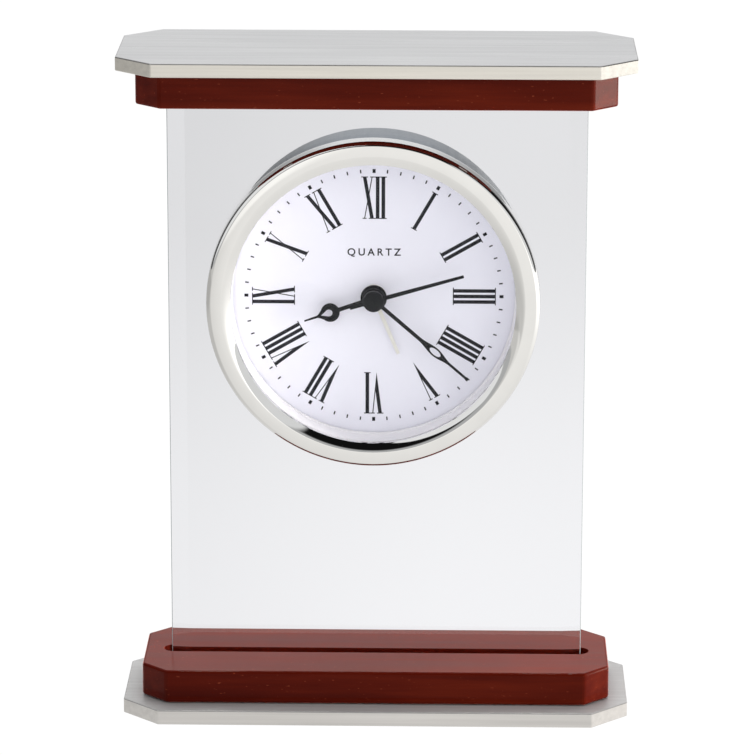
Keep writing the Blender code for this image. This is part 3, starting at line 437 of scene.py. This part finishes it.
def finish_piece(obj, body, slot, *nodes):
    """Let a piece ride on a body and stand for CAD nodes, which it hides. Its slot is not used."""
    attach(obj, body)
    if nodes:
        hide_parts(*nodes)


# ---------------------------------------------------------------------------------------------
# Clock insert
# ---------------------------------------------------------------------------------------------

def turned_box(node):
    """Radius, front and back of a round CAD node."""
    low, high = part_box(node)
    return (high[0] - low[0]) / 2, low[1], high[1]


def rolled(start, bends):
    """Profile that leaves the front plane and rolls to the side through bends of (from, to, radius)."""
    radius, y = start
    points = [start]
    for low, high, bend in bends:
        step = math.radians(high - low) / BEND_STEPS
        for index in range(BEND_STEPS):
            tilt = math.radians(low) + step * (index + 0.5)
            radius += bend * math.cos(tilt) * step
            y += bend * math.sin(tilt) * step
            points.append((radius, y))
    return points


def build_bezel(looks):
    """Polished rim: upright side wall, small shoulder, flat band and a sloping inner band."""
    outer, front, back = turned_box("bezel")
    rim = DIAL_OPENING
    wall_back = front + WALL_DEPTH
    hollow = wall_back - 1.1 * MM
    lip = front + 0.9 * MM
    seat = lip + 0.8 * MM
    shoulder = rolled((outer - SHOULDER_REACH, front), SHOULDER_BENDS)
    side = [(outer - 0.05 * MM, wall_back), (outer, front + 5.2 * MM), (outer - 0.15 * MM, front + 3.4 * MM)]
    band = [(rim + 2.9 * MM, front), (rim + 2.6 * MM, front + 0.03 * MM), (rim + 1.8 * MM, front + 0.22 * MM),
            (rim + 0.9 * MM, front + 0.56 * MM), (rim + 0.35 * MM, lip - 0.04 * MM)]
    opening = [(rim + 0.08 * MM, lip + 0.1 * MM), (rim, lip + 0.35 * MM), (rim, seat)]
    bore, sleeve, wall = rim + 1.0 * MM, rim + 2.2 * MM, outer - 1.6 * MM
    behind = [(bore, seat), (bore, back), (sleeve, back), (sleeve, hollow), (wall, hollow),
              (wall, wall_back)]
    bm = bmesh.new()
    turned(bm, [*side, *reversed(shoulder), *band, *opening, *behind], LARGE_TURNED_STEPS)
    chrome = looks["polished_chrome"]
    finish_piece(piece("bezel_rim", bm, chrome, sharp=40.0), "stand", "polished_chrome", "bezel")


def build_crystal(looks):
    """Flat clear disc with an eased front edge."""
    radius, front, back = turned_box("crystal")
    edge = 0.25 * MM
    profile = [(0.0, front), (radius - edge, front), (radius, front + edge), (radius, back), (0.0, back)]
    bm = bmesh.new()
    turned(bm, profile, TURNED_STEPS)
    finish_piece(piece("crystal_lens", bm, looks["crystal"]), "stand", "panel_glass", "crystal")


def build_wall_ring(looks):
    """Pale stepped ring between the crystal and the dial."""
    outer, front, back = turned_box("inner_wall_ring")
    wall = DIAL_OPENING + 0.1 * MM
    ledge = wall - 0.25 * MM
    step = back - 1.3 * MM
    ease = 0.1 * MM
    profile = [(outer, front), (outer, back), (ledge, back), (ledge, step + ease), (ledge + ease, step),
               (wall, step), (wall, front)]
    bm = bmesh.new()
    turned(bm, profile, TURNED_STEPS)
    finish_piece(piece("wall_ring", bm, looks["pale_ring"]), "stand", "pale_ring", "inner_wall_ring")


def build_dial(looks):
    """White disc with a hole for the hands' tubes."""
    radius, front, back = turned_box("dial")
    bm = bmesh.new()
    turned(bm, [(radius, front), (radius, back), (DIAL_HOLE, back), (DIAL_HOLE, front)], TURNED_STEPS)
    finish_piece(piece("dial_face", bm, looks["white_dial"]), "stand", "white_dial", "dial")


def slanted(x0, x1, stroke):
    """Stroke from x0 at the feet to x1 at the head."""
    return [(x0 - stroke / 2, 0.0), (x0 + stroke / 2, 0.0), (x1 + stroke / 2, 1.0), (x1 - stroke / 2, 1.0)]


def letter_v(middle, half):
    """Thick left stroke and thin right stroke, whose outer edges meet in a point at the feet."""
    left, right = middle - half, middle + half
    meet = THICK_STROKE / (2 * half + (THICK_STROKE + THIN_STROKE) / 2)
    outer = right + THIN_STROKE / 2
    thick = [(left - THICK_STROKE / 2, 1.0), (middle, 0.0), (middle + (outer - middle) * meet, meet),
             (left + THICK_STROKE / 2, 1.0)]
    thin = [(middle, 0.0), (outer, 1.0), (outer - THIN_STROKE, 1.0), (middle - THIN_STROKE / 2, 0.08)]
    return [thick, thin]


def letter_shapes(numeral):
    """Outlines of a Roman numeral, centred on x = 0, with its feet at y = 0 and its head at y = 1."""
    widths = [BAR_PITCH if letter == "I" else WIDE_LETTER for letter in numeral]
    left = -sum(widths) / 2
    half = WIDE_LETTER / 2 - LETTER_MARGIN
    shapes, feet, heads = [], [], []
    for letter, width in zip(numeral, widths):
        middle = left + width / 2
        if letter == "I":
            shapes.append(slanted(middle, middle, THICK_STROKE))
            feet.append((middle, THICK_STROKE))
            heads.append((middle, THICK_STROKE))
        elif letter == "V":
            shapes += letter_v(middle, half)
            heads += [(middle - half, THICK_STROKE), (middle + half, THIN_STROKE)]
        else:
            shapes += [slanted(middle + half, middle - half, THICK_STROKE),
                       slanted(middle - half, middle + half, THIN_STROKE)]
            feet += [(middle + half, THICK_STROKE), (middle - half, THIN_STROKE)]
            heads += [(middle - half, THICK_STROKE), (middle + half, THIN_STROKE)]
        left += width
    serif = THIN_STROKE / (NUMERAL_HEAD - NUMERAL_FOOT)
    for low, high, marks in ((0.0, serif, feet), (1.0 - serif, 1.0, heads)):
        for x, stroke in marks:
            reach = stroke / 2 + SERIF_REACH
            shapes.append([(x - reach, low), (x + reach, low), (x + reach, high), (x - reach, high)])
    return shapes


def dial_point(angle, across, out):
    """Dial-plane point at a clock angle, from its distance across and out along that angle."""
    turn = math.radians(angle)
    return (AXIS.x + out * math.sin(turn) + across * math.cos(turn),
            AXIS.z + out * math.cos(turn) - across * math.sin(turn))


def add_marks(bm, outlines, layer):
    """Thin prisms standing on the dial. Strokes that cross differ in height, so that they don't flicker."""
    for index, outline in enumerate(outlines):
        depth = PRINT_DEPTH + layer * LAYER_LIFT + (index % STROKE_LEVELS) * STROKE_LIFT
        prism(bm, outline, DIAL_FRONT - depth, DIAL_FRONT)


def build_printing(looks):
    """Numerals and minute track, as thin ink standing on the dial."""
    bm = bmesh.new()
    height = NUMERAL_HEAD - NUMERAL_FOOT
    for hour, numeral in enumerate(NUMERALS):
        outlines = [[dial_point(30.0 * hour, x, NUMERAL_FOOT + y * height) for x, y in quad]
                    for quad in letter_shapes(numeral)]
        add_marks(bm, outlines, 1)
    marks = []
    for minute in range(60):
        half, reach = HOUR_MARK if minute % 5 == 0 else MINUTE_MARK
        corners = ((-half, -reach), (half, -reach), (half, reach), (-half, reach))
        marks.append([dial_point(6.0 * minute, x, TRACK_RADIUS + y) for x, y in corners])
    add_marks(bm, marks, 0)
    finish_piece(piece("dial_print", bm, looks["ink"]), "stand", "black_hand")


def build_word(looks):
    """Generic word printed above the middle of the dial."""
    text = bpy.data.curves.new("dial_word", "FONT")
    text.body = "QUARTZ"
    text.size = WORD_SIZE
    text.offset = 0.05 * MM
    text.space_character = 1.45
    text.align_x = "CENTER"
    text.align_y = "CENTER"
    text.extrude = PRINT_DEPTH / 2
    text.resolution_u = 8
    helper = bpy.data.objects.new("dial_word_outline", text)
    bpy.context.scene.collection.objects.link(helper)
    bpy.context.view_layer.update()
    mesh = bpy.data.meshes.new_from_object(helper.evaluated_get(bpy.context.evaluated_depsgraph_get()))
    bpy.data.objects.remove(helper, do_unlink=True)
    for vert in mesh.vertices:
        x, y, z = vert.co
        vert.co = (AXIS.x + x, DIAL_FRONT - PRINT_DEPTH / 2 - z, AXIS.z + WORD_HEIGHT + y)
    word = bpy.data.objects.new("dial_word", mesh)
    mesh.materials.clear()
    mesh.materials.append(looks["ink"])
    bpy.context.scene.collection.objects.link(word)
    finish_piece(word, "stand", "black_hand")


# ---------------------------------------------------------------------------------------------
# Hands: lengths are in millimetres here, and distances run outward from the axis
# ---------------------------------------------------------------------------------------------

HOUR_DISC = 13.8
MINUTE_EYE = 24.5
EYE_STEPS = 28


def blend_widths(distance, stations):
    """Smooth half-width from (distance, half-width) stations."""
    for (d0, w0), (d1, w1) in zip(stations, stations[1:]):
        if d0 <= distance <= d1:
            share = (distance - d0) / (d1 - d0)
            share = share * share * (3.0 - 2.0 * share)
            return w0 + (w1 - w0) * share
    return stations[0][1] if distance < stations[0][0] else stations[-1][1]


def bulge(distance, centre, radius):
    """Half-width of a disc on the hand's middle line."""
    inside = radius ** 2 - (distance - centre) ** 2
    return math.sqrt(inside) if inside > 0.0 else 0.0


def hour_width(distance):
    """Stem with a round disc and a fine tip."""
    stem = blend_widths(distance, [(0.0, 0.62), (HOUR_DISC, 0.62), (15.9, 1.5), (18.0, 0.34), (22.0, 0.23)])
    return max(stem, bulge(distance, HOUR_DISC, 2.85))


def minute_width(distance):
    """Stem that swells round its eye and flares a little at the tip."""
    return blend_widths(distance, [(0.0, 0.58), (18.3, 0.54), (MINUTE_EYE, 1.32), (30.3, 0.38), (36.4, 0.36),
                                   (37.1, 0.5)])


def second_width(distance):
    """Straight tail and a slowly narrowing blade."""
    return 0.7 if distance < 0.0 else 0.68 - 0.0085 * distance


def alarm_width(distance):
    """Short blade that narrows slowly."""
    return 0.62 - 0.006 * distance


def ellipse(half_width, half_length, centre):
    """Oval eye as (across, out) points."""
    angles = [math.tau * step / EYE_STEPS for step in range(EYE_STEPS)]
    return [(half_width * math.cos(a), centre + half_length * math.sin(a)) for a in angles]


def teardrop(radius, centre, point):
    """Round eye drawn out to a point further from the hub."""
    turn = math.acos(radius / (point - centre))
    angles = [math.pi / 2 + turn + (math.tau - 2 * turn) * step / EYE_STEPS for step in range(EYE_STEPS + 1)]
    return [(radius * math.cos(a), centre + radius * math.sin(a)) for a in angles] + [(0.0, point)]


def hand_outline(reach, tail, width_at, steps):
    """Outline as (across, out) points, up one side from the tail and back down the other."""
    stations = [-tail + (reach + tail) * step / steps for step in range(steps + 1)]
    left = [(-width_at(station), station) for station in stations]
    right = [(width_at(station), station) for station in reversed(stations)]
    return left + right


def collar(outer, inner, depth, ease):
    """Profile of a flat hub with a hole and an eased front edge."""
    return [(outer - 0.05, ease), (outer, ease + 0.08), (outer, depth), (inner, depth), (inner, 0.0),
            (outer - 0.2, 0.0)]


def build_hand(looks, name, body, slot, angle, reach, width_at, hub, tail=0.0, eye=(), steps=12,
               thickness=0.3, front=0.1):
    """Flat blade with eased edges, set back from its CAD node's front, and a turned hub."""
    low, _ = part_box(name + "_hand")

    def place(across, out):
        return dial_point(angle, across * MM, out * MM)

    layer = low[1] + front * MM
    outline = [place(*point) for point in hand_outline(reach, tail, width_at, steps)]
    holes = [[place(*point) for point in eye]] if eye else []
    bm = bmesh.new()
    prism(bm, outline, layer, layer + thickness * MM, holes)
    blade = piece(name + "_blade", bm, looks[slot])
    soften(blade, 0.06 * MM, 50.0)
    finish_piece(blade, body, slot, name + "_hand")
    bm = bmesh.new()
    turned(bm, [(radius * MM, low[1] + y * MM) for radius, y in hub], HUB_STEPS)
    finish_piece(piece(name + "_blade_hub", bm, looks[slot], sharp=40.0), body, slot)


def build_hands(looks):
    """Hour, minute and alarm hands with flat hubs, and the second hand with its cap."""
    build_hand(looks, "hour", "hour", "black_hand", HOUR_ANGLE, 22.0, hour_width,
               collar(3.95, 2.5, 0.9, 0.12), eye=teardrop(1.08, 14.2, 16.7), steps=176, thickness=0.4)
    build_hand(looks, "minute", "minute", "black_hand", MINUTE_ANGLE, 37.6, minute_width,
               collar(3.45, 1.8, 0.8, 0.1), eye=ellipse(0.87, 2.05, MINUTE_EYE), steps=176, thickness=0.4)
    build_hand(looks, "alarm", "alarm", "grey_hand", ALARM_ANGLE, 19.0, alarm_width,
               collar(3.8, 3.25, 0.75, 0.12))
    cap = [(0.0, 0.06), (0.35, 0.06), (0.42, 0.0), (2.85, 0.0), (3.0, 0.06), (3.1, 0.22), (3.1, 1.95),
           (1.0, 1.95), (1.0, 1.2), (0.0, 1.2)]
    build_hand(looks, "second", "seconds", "black_hand", SECOND_ANGLE, 28.0, second_width, cap,
               tail=7.4, front=1.25)


# ---------------------------------------------------------------------------------------------
# Drum, glass, wood and metal
# ---------------------------------------------------------------------------------------------

def build_drum(looks):
    """Turned drum behind the glass, with a rolled rear rim."""
    outer, front, back = turned_box("case_drum")
    bore = outer - DRUM_WALL
    roll = DRUM_WALL / 2
    ease = 0.2 * MM
    rim = arc((outer - roll, back - roll), roll, 0.0, 180.0, 10)
    bm = bmesh.new()
    turned(bm, [(outer, front + ease), *rim, (bore, front), (outer - ease, front)], LARGE_TURNED_STEPS)
    finish_piece(piece("drum_shell", bm, looks["silver_drum"]), "stand", "silver_drum", "case_drum")


def build_glass(looks):
    """Glass slab with bevelled front edges, a polished hole and ground arrises along its sides."""
    (left, front, bottom), (right, back, top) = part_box("glass_panel")
    shoulder = front + GLASS_BEVEL_DEPTH
    half_section = [(GLASS_ARRIS, back), (0.0, back - GLASS_ARRIS), (0.0, shoulder + 0.8 * GLASS_ARRIS),
                    (0.7 * GLASS_ARRIS, shoulder), (GLASS_BEVEL_WIDTH, front)]
    section = [(left + x, y) for x, y in half_section] + [(right - x, y) for x, y in reversed(half_section)]
    sides = ("arris", "side", "arris", "bevel", "front", "bevel", "arris", "side", "arris", "back")
    bm = bmesh.new()
    ends = [[bm.verts.new((x, y, z)) for x, y in section] for z in (bottom, top)]
    rims = {}
    for side, y in (("front", front), ("back", back)):
        rims[side] = [bm.verts.new((x, y, z)) for x, z in circle(GLASS_HOLE, LARGE_TURNED_STEPS)]
    for step in range(LARGE_TURNED_STEPS):
        after = (step + 1) % LARGE_TURNED_STEPS
        bm.faces.new((rims["front"][step], rims["front"][after], rims["back"][after], rims["back"][step]))
    for end in ends:
        bm.faces.new(end)
    for index, side in enumerate(sides):
        after = (index + 1) % len(section)
        corners = [ends[0][index], ends[0][after], ends[1][after], ends[1][index]]
        if side in rims:
            pierced_face(bm, corners, rims[side])
        else:
            bm.faces.new(corners).material_index = 1 if side == "arris" else 0
    slab = piece("glass_slab", bm, looks["panel_glass"], sharp=8.0)
    slab.data.materials.append(looks["ground_glass"])
    finish_piece(slab, "stand", "panel_glass", "glass_panel")


def dress_cad_nodes(looks):
    """Give every CAD node the material of its record slot, except the base plate, which has a duller copy,
    darkened by painted shade.
    """
    slots = {entry["node"]: entry["material_slot"] for entry in frame["record"]["subparts"]}
    for name, obj in frame["nodes"].items():
        look = looks["brushed_base_painted_shade" if name == "base_plate" else slots[name]]
        obj.data.materials.clear()
        obj.data.materials.append(look)


# ---------------------------------------------------------------------------------------------
# Camera, floor and light
# ---------------------------------------------------------------------------------------------

def build_camera():
    """Camera that looks at its target, with a slight roll."""
    data = bpy.data.cameras.new("camera")
    data.lens = LENS
    data.sensor_width = SENSOR_WIDTH
    data.clip_start = 0.05
    camera = bpy.data.objects.new("camera", data)
    bpy.context.scene.collection.objects.link(camera)
    away = Vector((math.sin(VIEW_AZIMUTH) * math.cos(VIEW_ELEVATION),
                   -math.cos(VIEW_AZIMUTH) * math.cos(VIEW_ELEVATION), math.sin(VIEW_ELEVATION)))
    camera.location = VIEW_TARGET + away * VIEW_DISTANCE
    camera.rotation_mode = "QUATERNION"
    camera.rotation_quaternion = (-away).to_track_quat("-Z", "Y") @ Quaternion((0.0, 0.0, 1.0), VIEW_ROLL)
    bpy.context.scene.camera = camera


class Glow:
    """Short ways to add nodes to a floor or world tree that only gives off light."""

    def __init__(self, tree):
        self.tree = tree
        self.path = tree.nodes.new("ShaderNodeLightPath")

    def feed(self, socket, value):
        if isinstance(value, bpy.types.NodeSocket):
            self.tree.links.new(value, socket)
        else:
            socket.default_value = value

    def span(self, source, start, end, low, high):
        """Smooth run from low to high while the source goes from start to end."""
        made = self.tree.nodes.new("ShaderNodeMapRange")
        made.interpolation_type = "SMOOTHSTEP"
        for socket, value in zip(made.inputs, (source, start, end, low, high)):
            self.feed(socket, value)
        return made.outputs["Result"]

    def maths(self, operation, *values):
        """Result of one operation on sockets and numbers."""
        made = self.tree.nodes.new("ShaderNodeMath")
        made.operation = operation
        for socket, value in zip(made.inputs, values):
            self.feed(socket, value)
        return made.outputs[0]

    def times(self, first, *others):
        """Product of all the values."""
        for value in others:
            first = self.maths("MULTIPLY", first, value)
        return first

    def highest(self, first, *others):
        """Largest of the values."""
        for value in others:
            first = self.maths("MAXIMUM", first, value)
        return first

    def mix(self, factor, first, second):
        made = self.tree.nodes.new("ShaderNodeMix")
        made.data_type = "RGBA"
        for socket, value in zip((made.inputs[0], made.inputs[6], made.inputs[7]), (factor, first, second)):
            self.feed(socket, value)
        return made.outputs[2]

    def grey(self, value):
        """Grey of a brightness."""
        made = self.tree.nodes.new("ShaderNodeCombineColor")
        for socket in made.inputs[:3]:
            self.feed(socket, value)
        return made.outputs[0]

    def tinted(self, value, tint):
        """Colour of a brightness socket times a tint."""
        made = self.tree.nodes.new("ShaderNodeVectorMath")
        made.operation = "MULTIPLY"
        self.feed(made.inputs[0], self.grey(value))
        made.inputs[1].default_value = tint
        return made.outputs[0]

    def coordinates(self, output):
        """X, y and z sockets of a texture coordinate."""
        source = self.tree.nodes.new("ShaderNodeTexCoord")
        split = self.tree.nodes.new("ShaderNodeSeparateXYZ")
        self.tree.links.new(source.outputs[output], split.inputs[0])
        return split.outputs

    def after_diffuse(self):
        """1 once the ray has met a matt surface, and 0 before."""
        return self.maths("GREATER_THAN", self.path.outputs["Diffuse Depth"], 0.5)


def build_floor():
    """White floor that gives off its own light, so that it is plain to the camera and has no shadow.
    Polished surfaces and glass see a pattern of darker and brighter patches on it, made for the front view."""
    material = bpy.data.materials.new("floor_white")
    material.use_nodes = True
    tree = material.node_tree
    tree.nodes.clear()
    glow = Glow(tree)
    x, y, _ = glow.coordinates("Object")
    away = glow.maths("SQRT", glow.maths("ADD", glow.times(x, x), glow.times(y, y)))
    far_left = glow.times(glow.span(y, -0.64, -0.72, 0.0, 0.3), glow.span(x, -0.02, -0.07, 0.0, 1.0))
    mirrored = glow.times(
        glow.span(away, 0.05, 0.75, 0.81, 0.93), glow.span(x, 0.03, -0.25, 1.0, 0.64),
        glow.span(x, 0.09, 0.5, 1.0, 1.45), glow.span(x, -0.35, -0.6, 1.0, 0.76),
        glow.maths("ADD", far_left, 1.0))
    through = glow.times(glow.span(y, 0.05, 0.75, 0.935, 0.775), glow.span(x, -0.14, 0.04, 0.90, 1.0))
    in_gloss = glow.tinted(mirrored, (1.0, 0.99, 0.968))
    in_glass = glow.tinted(through, (0.985, 0.985, 1.0))
    colour = glow.mix(glow.path.outputs["Is Glossy Ray"], WHITE, in_gloss)
    colour = glow.mix(glow.path.outputs["Is Transmission Ray"], colour, in_glass)
    colour = glow.mix(glow.after_diffuse(), colour, (1.25, 1.25, 1.25, 1.0))
    shine = tree.nodes.new("ShaderNodeEmission")
    shine.inputs["Strength"].default_value = 1.02
    output = tree.nodes.new("ShaderNodeOutputMaterial")
    tree.links.new(colour, shine.inputs["Color"])
    tree.links.new(shine.outputs[0], output.inputs["Surface"])
    material.cycles.emission_sampling = "NONE"
    reach = FLOOR_REACH
    corners = ((-reach, -reach), (reach, -reach), (reach, reach), (-reach, reach))
    bm = bmesh.new()
    bm.faces.new([bm.verts.new((x, y, 0.0)) for x, y in corners])
    piece("floor", bm, material)


def build_world():
    """Soft light for matt surfaces, stronger from the right. Polished ones see a pattern made for the front
    view: a bright wall behind the clock, patches on the viewer's side, a bright zenith and dark elsewhere."""
    world = bpy.data.worlds.new("studio")
    bpy.context.scene.world = world
    world.use_nodes = True
    world.cycles.sampling_method = "NONE"
    tree = world.node_tree
    glow = Glow(tree)
    x, y, z = glow.coordinates("Generated")

    # Slopes of a direction towards the viewer's side, to the right and upwards
    ahead = glow.highest(glow.times(y, -1.0), 0.05)
    across, up = glow.maths("DIVIDE", x, ahead), glow.maths("DIVIDE", z, ahead)

    # Patches on the viewer's side: above on the left, beside on the right and low
    height = glow.highest(glow.maths("MULTIPLY_ADD", across, 2.0, 1.2), 0.15)
    above = glow.times(glow.span(glow.maths("SUBTRACT", up, height), -0.04, 0.04, 0.0, 0.85),
                       glow.span(across, 0.0, 0.2, 1.0, 0.0))
    edge = glow.maths("MULTIPLY_ADD", up, -0.54, across)
    beside = glow.times(glow.span(edge, 0.1, 0.17, 0.0, 0.74), glow.span(up, 0.7, 0.9, 1.0, 0.0))
    low = glow.span(up, 0.14, 0.28, 0.45, 0.0)
    front = glow.times(glow.highest(low, above, beside), glow.span(y, 0.0, -0.25, 0.0, 1.0))

    # Wall behind the clock and the zenith
    wall = glow.times(glow.span(y, 0.0, 0.45, 0.0, 0.88), glow.span(z, 0.75, 0.95, 1.0, 0.4),
                      glow.span(glow.maths("ABSOLUTE", x), 0.1, 0.3, 1.0, 0.3))
    zenith = glow.span(z, 0.9, 0.97, 0.006, 0.9)

    seen = glow.tinted(glow.highest(wall, front, zenith), (0.98, 0.99, 1.0))
    soft = glow.grey(glow.span(x, -0.6, 0.9, 1.1, 1.5))
    tree.links.new(glow.mix(glow.after_diffuse(), seen, soft), tree.nodes["Background"].inputs["Color"])


def area_light(name, place, target, size, energy, colour, glossy=False):
    """Soft square lamp. Polished surfaces show it only if it is glossy."""
    data = bpy.data.lights.new(name, "AREA")
    data.size = size
    data.energy = energy
    data.color = colour
    lamp = bpy.data.objects.new(name, data)
    lamp.location = place
    lamp.rotation_euler = (Vector(target) - Vector(place)).to_track_quat("-Z", "Y").to_euler()
    lamp.visible_glossy = glossy
    bpy.context.scene.collection.objects.link(lamp)
    return lamp


def build_lights():
    """Lamps beside and behind the clock, and a low one that reaches only the wooden blocks."""
    glint = area_light("glint_lamp", (0.68, 0.02, 0.03), (0.06, 0.0, 0.1), 0.4, 6.5, (1.0, 0.92, 0.87), True)
    woods = bpy.data.collections.new("lacquered_wood")
    for name in ("cap_block", "base_block"):
        woods.objects.link(frame["nodes"][name])
    glint.light_linking.receiver_collection = woods
    area_light("side_lamp", (1.3, -0.2, 0.13), (0.0, 0.0, 0.1), 0.4, 22.0, (1.0, 0.94, 0.88))
    area_light("back_lamp", (0.0, 0.75, 1.3), (0.0, 0.0, 0.1), 1.0, 26.0, (1.0, 0.96, 0.92))


def main():
    """Set up camera and light, dress the CAD nodes and build the detailed pieces."""
    bpy.context.scene.view_settings.view_transform = "Standard"
    looks = make_looks()
    build_camera()
    build_floor()
    build_world()
    build_lights()
    dress_cad_nodes(looks)
    build_glass(looks)
    build_drum(looks)
    build_bezel(looks)
    build_wall_ring(looks)
    build_dial(looks)
    build_printing(looks)
    build_word(looks)
    build_hands(looks)
    build_crystal(looks)


main()
